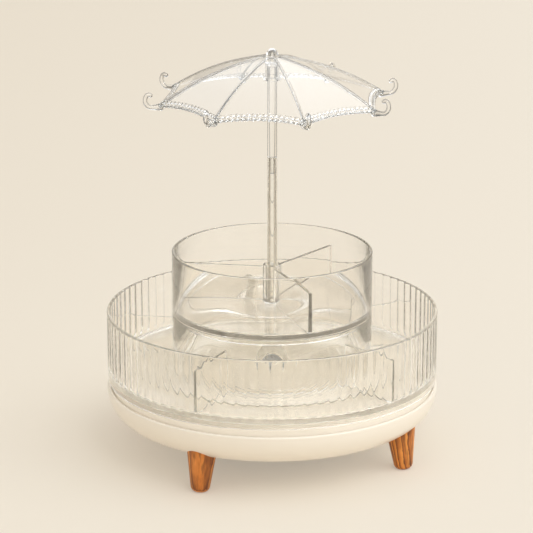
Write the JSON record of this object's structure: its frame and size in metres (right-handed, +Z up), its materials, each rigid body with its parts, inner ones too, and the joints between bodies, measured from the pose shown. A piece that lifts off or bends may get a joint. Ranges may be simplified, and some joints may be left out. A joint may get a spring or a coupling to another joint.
{
  "type": "rotating cosmetics organizer",
  "caption": "Two-tier turning make-up organizer: fluted clear tray with fins, clear cup on a riser and a clear umbrella with eight hooks, on an ivory base with four wooden feet.",
  "frame": {"origin": "on the table under the pivot", "axes": "+Z up along the pivot; -Y is the front"},
  "size_m": [0.241, 0.241, 0.2964],
  "materials": {
    "ivory_shell": "smooth gloss ivory plastic",
    "ivory_cover": "smooth gloss ivory plastic",
    "foot_wood": "warm brown turned wood, oiled",
    "screw_steel": "zinc plated",
    "ball_steel": "polished steel",
    "cage_plastic": "white nylon",
    "turntable_plastic": "satin ivory plastic",
    "bush_plastic": "natural acetal",
    "tray_clear": "clear moulded plastic with fluted wall",
    "riser_clear": "clear moulded plastic",
    "cup_clear": "clear moulded plastic",
    "pole_clear": "clear tube",
    "umbrella_clear": "clear, slightly milky moulded plastic"
  },
  "bodies": {
    "base": {"base_shell": "ivory_shell", "base_cover": "ivory_cover", "foot_front_left": "foot_wood", "foot_front_right": "foot_wood", "foot_back_right": "foot_wood", "foot_back_left": "foot_wood", "foot_screws": "screw_steel", "cover_screws": "screw_steel", "pivot_bush": "bush_plastic", "pivot_washer": "screw_steel", "pivot_screw": "screw_steel"},
    "ball_ring": {"ball_cage": "cage_plastic", "bearing_balls": "ball_steel"},
    "turntable": {"turntable_plate": "turntable_plastic", "lower_tray": "tray_clear", "riser_drum": "riser_clear"},
    "cup": {"upper_tray": "cup_clear"},
    "pole": {"pole_lower": "pole_clear", "pole_upper": "pole_clear"},
    "umbrella": {"canopy_hub": "umbrella_clear", "canopy": "umbrella_clear", "finial": "umbrella_clear"}
  },
  "joints": [
    {"name": "turntable_spin", "type": "hinge", "parent": "base", "child": "turntable", "pos_m": [0, 0, 0.0563], "axis": [0, 0, 1], "continuous": true},
    {"name": "ball_ring_spin", "type": "hinge", "parent": "base", "child": "ball_ring", "pos_m": [0, 0, 0.0531], "axis": [0, 0, 1], "continuous": true},
    {"name": "cup_lift", "type": "slide", "parent": "turntable", "child": "cup", "axis": [0, 0, 1], "range_m": [0, 0.05]},
    {"name": "pole_lift", "type": "slide", "parent": "cup", "child": "pole", "axis": [0, 0, 1], "range_m": [0, 0.03]},
    {"name": "umbrella_turn", "type": "hinge", "parent": "pole", "child": "umbrella", "pos_m": [0, 0, 0.28], "axis": [0, 0, 1], "continuous": true}
  ],
  "couplings": [
    {"joint": "ball_ring_spin", "follows": "turntable_spin", "ratio": 0.5}
  ]
}
